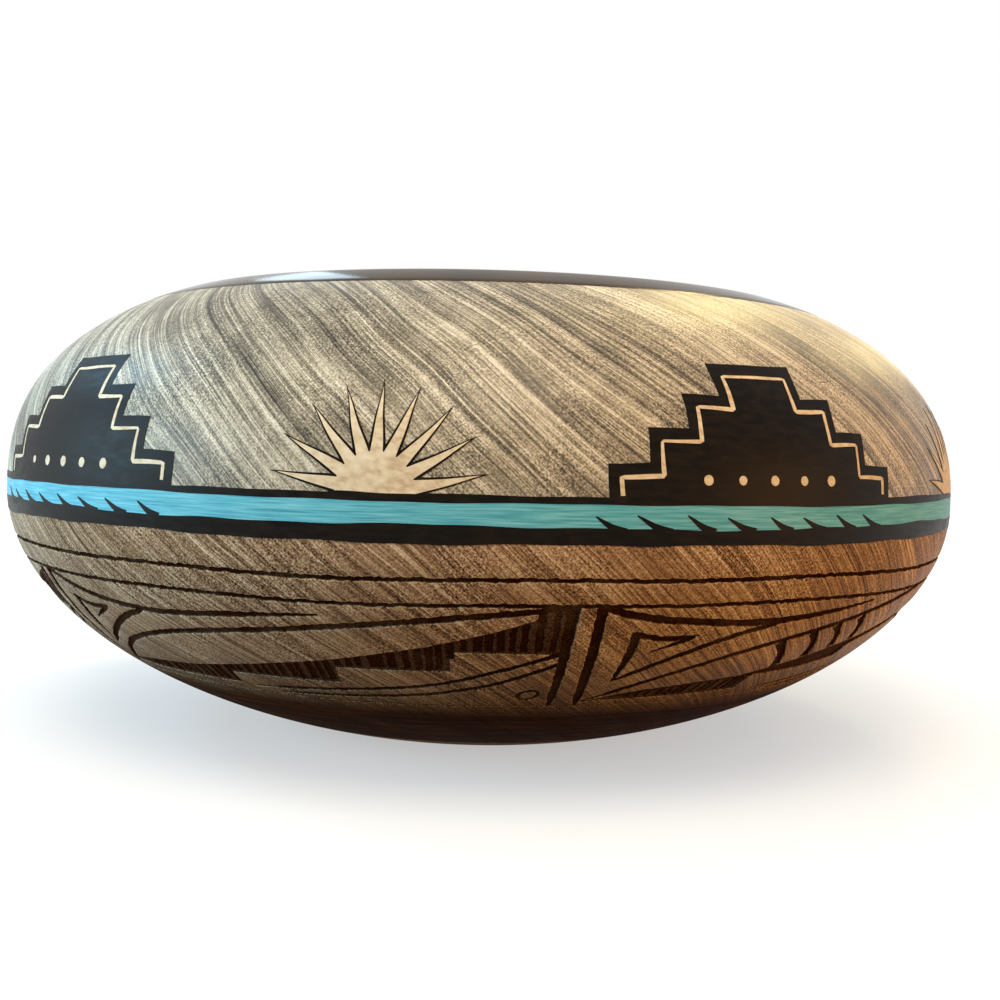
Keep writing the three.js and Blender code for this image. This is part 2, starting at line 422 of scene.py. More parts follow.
def ring_cut(arc, width, chipped):
    """A carved line all the way round, whose ends meet at the seam."""
    x = all_round(COLUMNS * 2)
    rough = rng.uniform(-CUT_RAGGED, CUT_RAGGED, (3, len(x)))
    rough[:, -1] = rough[:, 0]
    sway = sum(high * np.sin(waves * x / FLAT_RADIUS + phase) for high, waves, phase in RING_SWAYS)
    sway += rough[2] / 2
    half = width / 2
    edges = [(half, CHIP_LEVEL if chipped else 0.0), (half - CUT_BEVEL, 1.0)]
    if chipped:
        edges.append((half + CHIP_WIDTH, 0.0))
    outlines = []
    for reach, level in edges:
        low = pairs(x, arc + sway - reach - rough[0])
        high = pairs(x, arc + sway + reach + rough[1])
        outlines.append((np.vstack([low, high[::-1]]), level))
    return outlines


def pit(corners, level=PIT_LEVEL):
    """A ground cut back inside an outline, anticlockwise."""
    outline = subdivided(corners, PIT_STEP, PIT_RAGGED)
    outline = np.roll(outline, len(outline) // -4, axis=0)  # starts where the ground is wide
    return [(outline, 0.0), (inset(outline, CUT_BEVEL), level)]


def gouges(low, high, lean):
    """Upright gouges side by side between two lines of corners, both left to right."""
    start = max(low[0, 0], high[0, 0]) + GOUGE_MARGINS[0]
    stop = min(low[-1, 0], high[-1, 0]) - GOUGE_MARGINS[1]
    outlines = []
    for x in np.arange(start, stop, GOUGE_PITCH):
        x += rng.uniform(-GOUGE_SHIFT, GOUGE_SHIFT)
        foot = np.interp(x, low[:, 0], low[:, 1]) + GOUGE_CLEAR
        head = np.interp(x, high[:, 0], high[:, 1]) - GOUGE_CLEAR
        tall = head - foot
        if tall > GOUGE_LEAST:
            bow = rng.uniform(-GOUGE_BOW, GOUGE_BOW)
            middle = (x + lean * tall / 2 + bow, (foot + head) / 2)
            line = [(x, foot), middle, (x + lean * tall, head)]
            outlines += cut(line, GOUGE_WIDTH * rng.uniform(*GOUGE_WIDTHS), chipped=False)
    return outlines


def triangulate(outlines, spots, clear):
    """Triangles over closed outlines and the spots clear of them, and which outlines hold each."""
    points = np.vstack(outlines)
    tree = kdtree.KDTree(len(points))
    for index, (x, y) in enumerate(points):
        tree.insert((x, y, 0), index)
    tree.balance()
    kept = [spot for spot in spots if tree.find((spot[0], spot[1], 0))[2] > clear]
    loops = []
    for outline in outlines:
        start = loops[-1][-1] + 1 if loops else 0
        loops.append(list(range(start, start + len(outline))))
    flat = [Vector(point) for point in np.vstack([points, *kept] if kept else [points])]
    corners, _, faces, _, _, owners = delaunay_2d_cdt(flat, [], loops, 0, MERGE_TOLERANCE, True)
    return np.array(corners), faces, owners


# The carved frieze. A panel runs from the middle of one double bar to the next, and its points are
# degrees to the right of the first bar and millimetres of arc. A cut has points, a width and two tapers

PANEL_DEGREES = 65
BAR_TURNS = (-170, -112.5, -55, 10, 75, 132.5, 190)
SEAM_TURN = math.radians(BAR_TURNS[0])

BARS_AND_FLAG = (
    ([(1.2, 78.4), (1.35, 63), (1.8, 48.2)], 2.0, (0, 4)),
    ([(63.6, 78.4), (63.5, 63), (63.6, 48.2)], 1.9, (0, 4)),
    ([(4.6, 58.2), (5.1, 66), (5.2, 72.8)], 1.8, (8, 0)),
    ([(4.9, 72.2), (8.5, 70.8), (12, 71.5)], 1.5, (0, 4)),
    ([(11.6, 71.2), (9.5, 69.3), (7.2, 67.3)], 1.2, (0, 5)),
    ([(27, 50.4), (40, 53), (50, 56.5), (57, 61.8), (63.4, 67.4)], 1.3, (8, 0)),
    ([(30, 48.8), (45, 51.3), (53, 54.7), (58, 58.6), (63.4, 64.4)], 1.3, (8, 0)),
)

# A small loop, cut in two halves that overlap
LOOP_SPOT = (60.7, 53.2)
LOOP_HALF_DEGREES = 1.15
LOOP_HALF_ARC = 1.8
LOOP_WIDTH = 0.95
LOOP_TILT = 0.3
LOOP_STARTS = (60, 240)  # degrees at which its halves start
LOOP_OVERLAP = 5
LOOP_POINTS = 8

STEPPED_CUTS = (
    ([(4.4, 58.2), (10, 65.2), (14.5, 69.6), (18.5, 72.3)], 1.5, (4, 3)),
    ([(1.3, 78.5), (10, 74.3), (20, 72.5), (30, 73.8), (40, 75.3)], 1.5, (0, 16)),
    ([(2.2, 50), (10, 60.5), (20, 66.7), (35, 71), (50, 75), (63.6, 78.4)], 1.5, (5, 0)),
)
STEPPED_TOP = [
    (3, 52), (10, 54.3), (20, 56.3), (30, 59.8), (40, 63.7),
    (50, 68.7), (57, 73.2), (60.2, 75.6), (60.7, 77.9), (63.6, 78.3),
]
STEPPED_FOOT = [
    (5, 50.6), (25.3, 50.9), (25.4, 55.2), (39.8, 55.6),
    (39.9, 61), (52.2, 61.4), (52.3, 67.2), (63.6, 67),
]

WINDOW_CUTS = (
    ([(4.4, 58.2), (10, 65.2), (16, 70.7), (22, 73.9)], 1.5, (4, 3)),
    ([(1.3, 78.4), (7, 75.7), (18, 74.0), (27, 74.9), (36, 76.8)], 1.8, (0, 22)),
    ([(2.2, 50), (10, 58.8), (20, 66.6), (35, 73), (52, 79)], 1.5, (8, 6)),
    ([(2.2, 49.8), (8, 53), (15, 55.2), (24, 57)], 1.5, (8, 0)),
    ([(23.6, 67.9), (25.2, 64), (26.2, 59.6)], 1.9, (-2.4, -3)),
    ([(28.1, 69.9), (29.6, 66), (30.3, 61.6)], 1.9, (-2.4, -3)),
    ([(31.6, 71.2), (33.4, 67.5), (34.3, 63.8)], 1.8, (-2.4, -3)),
    ([(35.8, 72.6), (37.2, 69), (37.8, 65.2)], 1.8, (-2.4, -3)),
)
WINDOW_HATCH_TOP = [(4, 51), (9.5, 53.6), (16, 55.4), (23.8, 56.8)]
WINDOW_HATCH_FOOT = [(5, 50.3), (12, 50.8), (17, 50.9), (23.2, 51.4)]
WINDOW_WEDGE = [
    (21, 57.0), (26, 56.9), (32, 57.3), (38.8, 59), (39.2, 62.4), (40.6, 64), (45, 66.4), (49.5, 69.2),
    (49.5, 70.9), (44, 68.2), (39, 65.7), (34.8, 64), (30.5, 61.7), (26, 59.7),
]
WINDOW_END_TOP = [(49.5, 70.9), (56, 74.2), (63, 77.8)]
WINDOW_END_FOOT = [(49.5, 69.2), (52.3, 67.2), (63, 67)]
WINDOW_LEAN = 0.25  # of the gouges in its hatching


def on_wall(points, bar, width_degrees):
    """Panel points on the unrolled wall."""
    x, arc = np.asarray(points, float).T
    turn = np.radians(bar + x * width_degrees / PANEL_DEGREES)
    return pairs(turn * FLAT_RADIUS, arc)


def hatched(foot, top, lean):
    """A ground between two lines of corners, with gouges across it."""
    return pit(np.vstack([foot, top[::-1]])) + gouges(foot, top, lean)


def panel_cuts(bar, width_degrees, stepped):
    """Every cut of one panel, which has stepped hatching or windows."""
    def spot(points):
        return on_wall(points, bar, width_degrees)

    outlines = []
    for start in LOOP_STARTS:
        stop = start + 180 + LOOP_OVERLAP
        angle = np.radians(np.linspace(start - LOOP_OVERLAP, stop, LOOP_POINTS))
        loop = pairs(LOOP_HALF_DEGREES * np.cos(angle - LOOP_TILT), LOOP_HALF_ARC * np.sin(angle))
        outlines += cut(spot(np.array(LOOP_SPOT) + loop), LOOP_WIDTH)
    for points, width, tapers in BARS_AND_FLAG + (STEPPED_CUTS if stepped else WINDOW_CUTS):
        outlines += cut(spot(points), width, tapers)
    if stepped:
        outlines += hatched(spot(STEPPED_FOOT), spot(STEPPED_TOP), lean=0)
    else:
        outlines += hatched(spot(WINDOW_HATCH_FOOT), spot(WINDOW_HATCH_TOP), WINDOW_LEAN)
        outlines += hatched(spot(WINDOW_END_FOOT), spot(WINDOW_END_TOP), lean=0)
        outlines += pit(spot(WINDOW_WEDGE), WEDGE_LEVEL)
    return outlines


def frieze_patch():
    """The carved zone of the wall, with every cut sunk into it."""
    outlines = []
    for ring in RINGS:
        outlines += ring_cut(*ring)
    for index, (bar, following) in enumerate(zip(BAR_TURNS, BAR_TURNS[1:])):
        outlines += panel_cuts(bar, following - bar, stepped=index % 2 == 0)
    x = all_round(COLUMNS)
    arcs = even_arcs(CARVED_LOW, CARVED_HIGH, WALL_GRID)[1:-1]
    border = np.vstack([
        pairs(x, np.full_like(x, CARVED_LOW)),
        pairs(np.full_like(arcs, x[-1]), arcs),
        pairs(x, np.full_like(x, CARVED_HIGH))[::-1],
        pairs(np.full_like(arcs, x[0]), arcs)[::-1],
    ])
    inner = np.stack(np.meshgrid(x[1:-1], arcs), axis=-1).reshape(-1, 2)
    shapes = [border] + [outline for outline, _ in outlines]
    levels = [0.0] + [level for _, level in outlines]
    flat, faces, owners = triangulate(shapes, inner, WALL_CLEAR)
    depth = np.zeros(len(flat))
    for face, owner in zip(faces, owners):
        level = max(levels[index] for index in owner)
        for corner in face:
            depth[corner] = max(depth[corner], level)
    return {
        "points": place(flat[:, 0] / FLAT_RADIUS, flat[:, 1], -CUT_DEPTH * depth),
        "faces": faces,
        "arc": flat[:, 1],
        "carve": depth,
    }


# Pieces

def make_slip(burnished, etched):
    """The brushed slip: a plain foot zone, the carved zone and the plain shoulder, closed behind."""
    low = arc_at(BARE_HEEL)
    high = arc_at(RIM_EDGE_HEIGHT) + COAT_LAP
    below = even_arcs(low, CARVED_LOW, SLIP_FOOT_GRID)
    above = even_arcs(CARVED_HIGH, high, WALL_GRID)
    behind = np.concatenate([[high], even_arcs(high, low, SLIP_BACK_GRID), [low]])
    sunk = np.full(len(behind), -SLIP)
    sunk[[0, -1]] = 0
    patches = [
        turned_patch(COLUMNS, *section(below), below),
        frieze_patch(),
        turned_patch(COLUMNS, *section(above), above),
        turned_patch(COLUMNS, *section(behind, sunk), behind),
    ]
    worn = [etched, etched, burnished, burnished]
    dress(build("slip_wall", patches, worn), "brushed_slip", "slip_coat")


def lip(inset_by):
    """Profile over the lip from the outside to the inside, inset under the coat or on it."""
    radius, height = section(LIP_ARC, -WALL / 2)
    out, up = WALL_OUT[-1], WALL_UP[-1]
    angle = np.linspace(0, math.pi, LIP_ROWS)
    across = (LIP_RADIUS - inset_by) * (np.cos(angle) * out - np.sin(angle) * up)
    rise = (LIP_RADIUS - inset_by) * (np.cos(angle) * up + np.sin(angle) * out)
    return radius + across, height + rise


def joined(*profiles):
    return [np.concatenate(values) for values in zip(*profiles)]


def make_rim(material):
    """The dark coat on the lip, a little proud of the slip where it ends on the shoulder."""
    outside = even_arcs(arc_at(RIM_EDGE_HEIGHT), LIP_ARC - LIP_MARGIN, RIM_GRID)
    inside = even_arcs(LIP_ARC - LIP_MARGIN, arc_at(RIM_INSIDE_HEIGHT), RIM_GRID)
    proud = np.interp(outside, [outside[0], outside[0] + RIM_EDGE_RUN, LIP_ARC], RIM_PROUD)
    face = joined(section(outside, proud), lip(0), section(inside, -WALL + RIM_INSIDE_PROUD))
    back = joined(
        section(inside[::-1], -WALL + SLIP),
        [values[::-1] for values in lip(SLIP)],
        section(outside[::-1], -SLIP),
    )
    radius, height = joined(face, back, [values[:1] for values in face])
    patch = turned_patch(COLUMNS, radius, height, np.linspace(0, 1, len(radius)))
    dress(build("rim_gloss", [patch], [material]), "rim_brown", "rim_coat")


def clay_outside(coat_end):
    """Profile from the middle of the foot up under the coats, over the lip and behind the rim coat."""
    foot_radius = np.linspace(0, FOOT_RADIUS - FOOT_CHAMFER, FOOT_ROWS)
    foot_height = FOOT_RING_DEPTH * (1 - np.cos(foot_radius * FOOT_RING_WAVE)) / 2
    heel = even_arcs(HEEL_ARC, arc_at(BARE_HEEL), HEEL_GRID)
    coated = even_arcs(arc_at(BARE_HEEL), LIP_ARC - LIP_MARGIN, COATED_GRID)
    hidden = even_arcs(LIP_ARC - LIP_MARGIN, coat_end, BARE_GRID)
    behind = SLIP + BOND_GAP / 2
    return joined(
        (foot_radius, foot_height),
        section(heel),
        section(coated, -behind),
        lip(behind),
        section(hidden, -WALL + behind),
    )


def clay_inside(coat_end, turn):
    """Rows of radii and heights down the bare inside, with the throwing spiral."""
    arcs = even_arcs(coat_end, FLOOR_ARC, BARE_GRID)
    spiral = SPIRAL_DEPTH * np.sin(arcs[:, None] * 2 * math.pi / SPIRAL_PITCH + turn[None, :])
    fades = [0, SPIRAL_FADE_LOW, coat_end - SPIRAL_FADE_HIGH, coat_end]
    fade = np.interp(arcs, fades, [SPIRAL_LEFT_LOW, 1, 1, 0])[:, None]
    return section(arcs[:, None], -WALL + spiral * fade + INSIDE_SHY)


def clay_floor(turn):
    """Rows of radii and heights from the foot of the inside to the middle, with a swirl."""
    edge, level = section(FLOOR_ARC, -WALL)
    radius = np.linspace(edge, 0, FLOOR_ROWS)
    swirl = SWIRL_DEPTH * np.sin(radius[:, None] * 2 * math.pi / SWIRL_PITCH + turn[None, :])
    fade = np.interp(radius, SWIRL_FADES, [0, 1, 1, 0])[:, None]
    return np.repeat(radius[:, None], len(turn), axis=1), level + FLOOR_RISE + swirl * fade


def make_clay(material):
    """The thrown body, with turned rings under the foot and a throwing spiral inside."""
    turn = columns_round(CLAY_COLUMNS)
    coat_end = arc_at(RIM_INSIDE_HEIGHT) - BARE_GAP
    outside = [np.repeat(values[:, None], CLAY_COLUMNS, axis=1) for values in clay_outside(coat_end)]
    stretches = (outside, clay_inside(coat_end, turn), clay_floor(turn))
    radius, height = [np.vstack(rows) for rows in zip(*stretches)]
    patch = turned_patch(CLAY_COLUMNS, radius, height, np.linspace(0, 1, len(radius)))
    dress(build("pot_clay", [patch], [material]), "bare_clay", "clay_body")


# Paint

def hand(outline, sway, pitch):
    """An outline as a hand paints it: two waves of unlike length move it on each axis."""
    moves = []
    for waves, own, other in zip(HAND_WAVES, outline.T, outline.T[::-1]):
        phases = [(high, rate * other / pitch + slant * own) for rate, slant, high in waves]
        moves.append(sum(high * np.sin(phase) for high, phase in phases))
    return outline + sway * pairs(*moves)


def seen_from_front(points, turn):
    """Points drawn as seen from in front, across and by height, laid on the unrolled wall."""
    across, height = points.T
    arc = arc_at(height)
    radius, _ = section(arc)
    return pairs((turn + np.arcsin(across / radius)) * FLAT_RADIUS, arc)


def paint(name, outlines, lift, material):
    """A thin closed sheet of paint inside outlines, which may overlap."""
    points = np.vstack(outlines)
    low, high = points.min(axis=0), points.max(axis=0)
    columns = np.arange(low[0] + PAINT_GRID / 2, high[0], PAINT_GRID)
    rows = np.arange(low[1] + PAINT_GRID / 2, high[1], PAINT_GRID)
    spots = np.stack(np.meshgrid(columns, rows), axis=-1).reshape(-1, 2)
    flat, faces, owners = triangulate(outlines, spots, PAINT_CLEAR)
    patch = {
        "points": place(flat[:, 0] / FLAT_RADIUS, flat[:, 1], lift),
        "faces": [face for face, owner in zip(faces, owners) if owner],
        "arc": flat[:, 1],
        "carve": np.zeros(len(flat)),
    }
    return build(name, [patch], [material], lift + PAINT_SUNK)


def band(low, high, sway):
    """The outline of a painted line all the way round, with hand-painted edges."""
    x = all_round(COLUMNS)
    turn = x / FLAT_RADIUS
    edges = []
    for arc, phase in zip((low, high), BAND_PHASES):
        wave = sum(rise * np.sin(waves * turn + share * phase) for waves, rise, share in BAND_WAVES)
        edges.append(pairs(x, arc + sway * wave))
    return np.vstack([edges[0], edges[1][::-1]])


def motif_turn(index):
    """The turn of a terrace, or of the sun half a step after it, within one round from the seam."""
    turn = FRONT_TERRACE_TURN + 2 * math.pi * index / MOTIFS
    return SEAM_TURN + (turn - SEAM_TURN) % (2 * math.pi)


def steps(inset_by, foot):
    """Corners up one side of a stepped terrace and down the other, from a foot above the band."""
    half = TERRACE_WIDTH / 2 - inset_by
    side = []
    for step in range(TERRACE_STEPS):
        low = step * TERRACE_RISE - inset_by if step else foot
        side.append((half - step * TERRACE_RUN, BAND_TOP + low))
        side.append((half - step * TERRACE_RUN, BAND_TOP + (step + 1) * TERRACE_RISE - inset_by))
    return np.array(side + [(-x, z) for x, z in reversed(side)])


def terrace(turn):
    """The outline of a stepped terrace, which laps over the line that it stands on."""
    return seen_from_front(subdivided(steps(0, -TERRACE_SINK), PAINT_STEP), turn)


def terrace_line(turn):
    """A thin stepped line inside a terrace."""
    corners, _ = evenly(steps(TRIM_INSET, TRIM_FOOT), TRIM_CORNER_STEP)
    line, distance = evenly(seen_from_front(corners, turn), TRIM_STEP)
    short, long = TRIM_SWELL_LENGTHS
    half = TRIM_HALF_WIDTH + TRIM_SWELL * np.sin(distance / short + turn) * np.sin(distance / long)
    return ribbon(line, half, half)


def dots(turn):
    """A row of small dots near the foot of a terrace."""
    angle = np.linspace(0, 2 * math.pi, DOT_POINTS, endpoint=False)
    ring = pairs(np.cos(angle), np.sin(angle))
    places = [(DOT_SPACING * (index - DOTS // 2), BAND_TOP + DOT_RISE) for index in range(DOTS)]
    return [seen_from_front(ring * rng.uniform(*DOT_RADII) + place_at, turn) for place_at in places]


def ray_root(radius, tip, spread):
    """Where the side of a ray starts: on the disc, or where it meets the side of the next ray."""
    half_pitch = math.pi / SUN_RAYS / 2
    if spread < half_pitch:
        return radius, spread
    slope = radius * math.sin(spread) / (tip - radius * math.cos(spread))
    return slope * tip / (math.sin(half_pitch) + slope * math.cos(half_pitch)), half_pitch


def sun(turn, grow=0.0):
    """The outline of a half disc with pointed rays, or of its broader backing."""
    radius = SUN_RADIUS + grow
    tip = radius + RAY_LENGTH + grow
    root, spread = ray_root(radius, tip, (RAY_WIDTH / 2 + grow * RAY_EDGING_SHARE) / radius)
    corners = [(radius, BAND_TOP - grow)]
    for ray in range(SUN_RAYS):
        angle = math.pi * (ray + 0.5) / SUN_RAYS
        for reach, shift in ((root, -spread), (tip, 0), (root, spread)):
            corner = (reach * math.cos(angle + shift), BAND_TOP + reach * math.sin(angle + shift))
            if math.dist(corner, corners[-1]) > CORNERS_APART:
                corners.append(corner)
    corners.append((-radius, BAND_TOP - grow))
    return seen_from_front(subdivided(np.array(corners), PAINT_STEP), turn)


def flick(x, arc, length, rise):
    """A tapered brush mark that leans up to the left from its root."""
    along, up = FLICK_BEND
    bend = (x - along * length, arc + up * rise)
    line, distance = curve([(x, arc), bend, (x - length, arc + rise)], FLICK_STEP)
    half = np.interp(distance, [0, distance[-1]], FLICK_HALF_WIDTHS)
    return ribbon(line, half, half)


def make_skyline(material):
    """The line along the top of the band, with the terraces and the edging of the suns."""
    outlines = [band(arc_at(SKYLINE_FOOT), arc_at(BAND_TOP), SKYLINE_SWAY)]
    outlines += [hand(terrace(motif_turn(index)), *TERRACE_HAND) for index in range(MOTIFS)]
    outlines += [hand(sun(motif_turn(index + 0.5), SUN_EDGING), *SUN_HAND) for index in range(MOTIFS)]
    dress(paint("painted_skyline", outlines, BLACK_LIFT, material), "black_paint", "black_skyline")


def make_stripe(material):
    """The turquoise stripe, which goes under the lines below and above it."""
    low = arc_at(STRIPE_FOOT) - STRIPE_LAP_LOW
    high = arc_at(SKYLINE_FOOT) + STRIPE_LAP_HIGH
    sheet = paint("painted_stripe", [band(low, high, STRIPE_SWAY)], STRIPE_LIFT, material)
    dress(sheet, "turquoise_paint", "turquoise_stripe")


def make_ground(material):
    """The band under the stripe, with brush marks that flick up into it under each terrace."""
    outlines = [band(arc_at(GROUND_FOOT), arc_at(STRIPE_FOOT), GROUND_SWAY)]
    root = arc_at(STRIPE_FOOT) - FLICK_ROOT
    for index in range(MOTIFS):
        for mark in range(FLICKS):
            turn = motif_turn(index) + math.radians(FLICK_DEGREES * (mark - (FLICKS - 1) / 2))
            length = FLICK_LENGTH + rng.uniform(-FLICK_LENGTH_SPREAD, FLICK_LENGTH_SPREAD)
            rise = FLICK_RISE + rng.uniform(-FLICK_RISE_SPREAD, FLICK_RISE_SPREAD)
            outlines.append(flick(turn * FLAT_RADIUS, root, length, rise))
    dress(paint("painted_ground", outlines, BLACK_LIFT, material), "black_paint", "black_ground_band")


def make_suns_and_trims(material):
    """The pale suns between the terraces, and the line and dots on each terrace."""
    for index in range(MOTIFS):
        shape = hand(sun(motif_turn(index + 0.5)), *SUN_HAND)
        disc = paint(f"painted_sun_{index + 1}", [shape], PALE_LIFT, material)
        dress(disc, "pale_paint", f"sun_{index + 1}")
        trim = [hand(terrace_line(motif_turn(index)), *TERRACE_HAND)] + dots(motif_turn(index))
        dress(paint(f"terrace_trim_{index + 1}", trim, PALE_LIFT, material), "pale_paint")


# Finishes

def colour(code):
    """Linear colour from a written one."""
    parts = [int(code[i:i + 2], 16) / 255 for i in (1, 3, 5)]
    return tuple(c / 12.92 if c <= 0.04045 else ((c + 0.055) / 1.055) ** 2.4 for c in parts) + (1.0,)


# Where a Mix node has its colours: two inputs and an output
MIX_FIRST = 6
MIX_SECOND = 7
MIX_RESULT = 2


class Nodes:
    """A node tree, to which nodes are added with their inputs set or linked."""

    def __init__(self, owner):
        owner.use_nodes = True
        self.tree = owner.node_tree

    def put(self, socket, value):
        if isinstance(value, bpy.types.NodeSocket):
            self.tree.links.new(value, socket)
        else:
            socket.default_value = value

    def add(self, kind, inputs, output=0, **settings):
        node = self.tree.nodes.new("ShaderNode" + kind)
        for key, value in settings.items():
            setattr(node, key, value)
        for key, value in inputs.items():
            self.put(node.inputs[key], value)
        return node.outputs[output]

    def math(self, operation, first, second):
        return self.add("Math", {0: first, 1: second}, operation=operation)

    def vector(self, operation, first, second=(0, 0, 0), third=(0, 0, 0)):
        return self.add("VectorMath", {0: first, 1: second, 2: third}, operation=operation)

    def remap(self, value, low, high, to_low=0.0, to_high=1.0):
        ends = {"From Min": low, "From Max": high, "To Min": to_low, "To Max": to_high}
        return self.add("MapRange", {"Value": value, **ends})

    def spot(self):
        return self.add("TexCoord", {}, "Object")

    def is_seen(self):
        """1 for rays that show a surface straight, in a reflection or through glass."""
        path = self.tree.nodes.new("ShaderNodeLightPath")
        total = path.outputs["Is Camera Ray"]
        for label in ("Is Glossy Ray", "Is Transmission Ray"):
            total = self.math("MAXIMUM", total, path.outputs[label])
        return total


class Finish(Nodes):
    """A procedural material for a piece."""

    def __init__(self, name):
        self.material = bpy.data.materials.new(name)
        super().__init__(self.material)
        self.shader = self.tree.nodes["Principled BSDF"]

    def attribute(self, label):
        return self.add("Attribute", {}, "Fac", attribute_name=label)

    def noise(self, vector, scale, detail=2.0, roughness=0.55):
        inputs = {"Vector": vector, "Scale": scale, "Detail": detail, "Roughness": roughness}
        return self.add("TexNoise", inputs)

    def spread(self, noise, low, high):
        """Most of the range of a noise, laid between two values."""
        return self.remap(noise, 0.3, 0.7, low, high)

    def mix(self, factor, first, second):
        inputs = {"Factor": factor, MIX_FIRST: first, MIX_SECOND: second}
        return self.add("Mix", inputs, MIX_RESULT, data_type="RGBA")

    def ramp(self, factor, stops):
        node = self.tree.nodes.new("ShaderNodeValToRGB")
        self.tree.links.new(factor, node.inputs[0])
        while len(node.color_ramp.elements) < len(stops):
            node.color_ramp.elements.new(0.5)
        for element, (position, code) in zip(node.color_ramp.elements, stops):
            element.position = position
            element.color = colour(code)
        return node.outputs[0]

    def surface(self, base, roughness, relief, depth, specular):
        normal = self.add("Bump", {"Height": relief, "Distance": depth * MM, "Strength": 1.0})
        self.put(self.shader.inputs["Base Color"], base)
        self.put(self.shader.inputs["Roughness"], roughness)
        self.put(self.shader.inputs["Specular IOR Level"], specular)
        self.put(self.shader.inputs["Normal"], normal)
        return self.material


STREAK_LEAN = 0.0096  # turn of a brush streak for each millimetre of arc, in radians
STREAK_WANDER = 0.05  # greatest slow shift of a streak, in radians
SLIP_RELIEF = 0.12  # depth of the brush marks in the slip
CHIPS_SHOWN = 0.6  # how far the pale chips along a cut show
DULLED_BY = 0.4  # roughness that the stain and the foot add

# Arcs between which the etched slip grows darker with painted shade, turns into the foot's coat and
# grows dull
PAINTED_SHADE_ARCS = (66, 48)
FOOT_EDGE = (48.5, 42)
DULLING = (60, 44)


def brush_space(finish, arc, lean):
    """The direction round the pot, turned so that a leaning brush streak stays on one direction."""
    flat = finish.vector("MULTIPLY", finish.spot(), (1, 1, 0))
    unit = finish.vector("NORMALIZE", flat)
    slow = finish.noise(finish.spot(), scale=22, detail=1.0)
    wander = finish.remap(slow, 0, 1, -STREAK_WANDER, STREAK_WANDER)
    angle = finish.math("ADD", finish.math("MULTIPLY", arc, lean), wander)
    return finish.add("VectorRotate", {"Vector": unit, "Angle": angle}, rotation_type="Z_AXIS")


def streaks(finish, direction, arc, around, along, detail=2.0):
    """Noise drawn out along the brush: cells for each radian round, and for each millimetre of arc."""
    climb = finish.add("CombineXYZ", {"Z": finish.math("MULTIPLY", arc, along)})
    where = finish.vector("MULTIPLY_ADD", direction, (around,) * 3, climb)
    return finish.noise(where, 1.0, detail)


def strokes(finish, lean, around, along):
    """Brush marks in a thin coat of paint."""
    arc = finish.attribute("arc")
    return streaks(finish, brush_space(finish, arc, lean), arc, around, along, detail=3.0)


def slip_tone(finish, arc, wide_share, grain_shares):
    """Light and dark of a dry brush about 0.5, from broad passes down to hairs and grain."""
    direction = brush_space(finish, arc, STREAK_LEAN)
    passes = streaks(finish, direction, arc, around=5, along=0.012)
    broad = streaks(finish, direction, arc, around=24, along=0.014)
    middling = streaks(finish, direction, arc, around=60, along=0.03)
    fine = streaks(finish, direction, arc, around=120, along=0.024, detail=3.0)
    hair = streaks(finish, direction, arc, around=340, along=0.06)
    grain = finish.noise(finish.spot(), scale=2700, detail=1.0)
    mist = finish.noise(finish.spot(), scale=120, detail=3.0, roughness=0.65)
    patchy = finish.remap(finish.noise(finish.spot(), scale=70), 0.4, 0.6, *grain_shares)
    tone = finish.math("MULTIPLY", finish.spread(grain, -0.5, 0.5), patchy)
    wide = ((passes, 0.1), (broad, 0.13), (middling, 0.1), (mist, 0.085))
    narrow = ((fine, 0.2), (hair, 0.17))
    for streak, share in [(streak, share * wide_share) for streak, share in wide] + list(narrow):
        tone = finish.math("ADD", tone, finish.spread(streak, -share, share))
    relief = finish.math("ADD", finish.math("MULTIPLY", fine, 0.5), finish.math("MULTIPLY", grain, 0.5))
    gloss = finish.spread(broad, 0.36, 0.48)
    return finish.math("ADD", tone, 0.5), grain, relief, gloss


def burnished_finish():
    """The shoulder: grey wash brushed over pale slip in slanting strokes, then rubbed to a sheen."""
    finish = Finish("burnished_slip")
    arc = finish.attribute("arc")
    tone, _, relief, gloss = slip_tone(finish, arc, wide_share=1.0, grain_shares=(0.28, 0.5))
    base = finish.ramp(tone, (
        (0.1, "#2b2620"), (0.34, "#6d6456"), (0.5, "#998f7d"), (0.66, "#c6baa6"), (0.9, "#ece4d6"),
    ))
    return finish.surface(base, gloss, relief, SLIP_RELIEF, specular=0.28)


def etched_wall(finish, arc, tone):
    """Brown wash over clay, which grows darker downwards with painted shade into the streaked coat of
    the foot, whose colours hold painted shade too.
    """
    wall = finish.ramp(tone, (
        (0.1, "#2c1e15"), (0.34, "#785c48"), (0.5, "#a28266"), (0.66, "#caaa8a"), (0.9, "#f0dfc6"),
    ))
    brush = strokes(finish, lean=0, around=4, along=0.8)
    # The foot's dark brown coat, its colours made darker still with painted shade of the underside
    foot = finish.ramp(brush, ((0.3, "#100300"), (0.5, "#281104"), (0.7, "#553010")))
    # Painted shade: the wash grows darker from the belly down towards the foot
    painted_shade = finish.remap(arc, *PAINTED_SHADE_ARCS, 0, 0.6)
    coated = finish.remap(arc, *FOOT_EDGE, 0, 0.4)
    return finish.mix(finish.math("ADD", painted_shade, coated), wall, foot)


def cut_stain(finish, carve):
    """How much dark stain lies in the cuts: most where they are shallow, all where they are deep."""
    shallow = finish.remap(carve, 0.12, 0.36, 0, 0.9)
    full = finish.math("ADD", shallow, finish.remap(carve, 0.6, 0.88, 0, 0.1))
    wear = finish.remap(finish.noise(finish.spot(), scale=110, detail=3.0), 0.35, 0.55, 0.92, 1)
    return finish.math("MULTIPLY", full, wear)


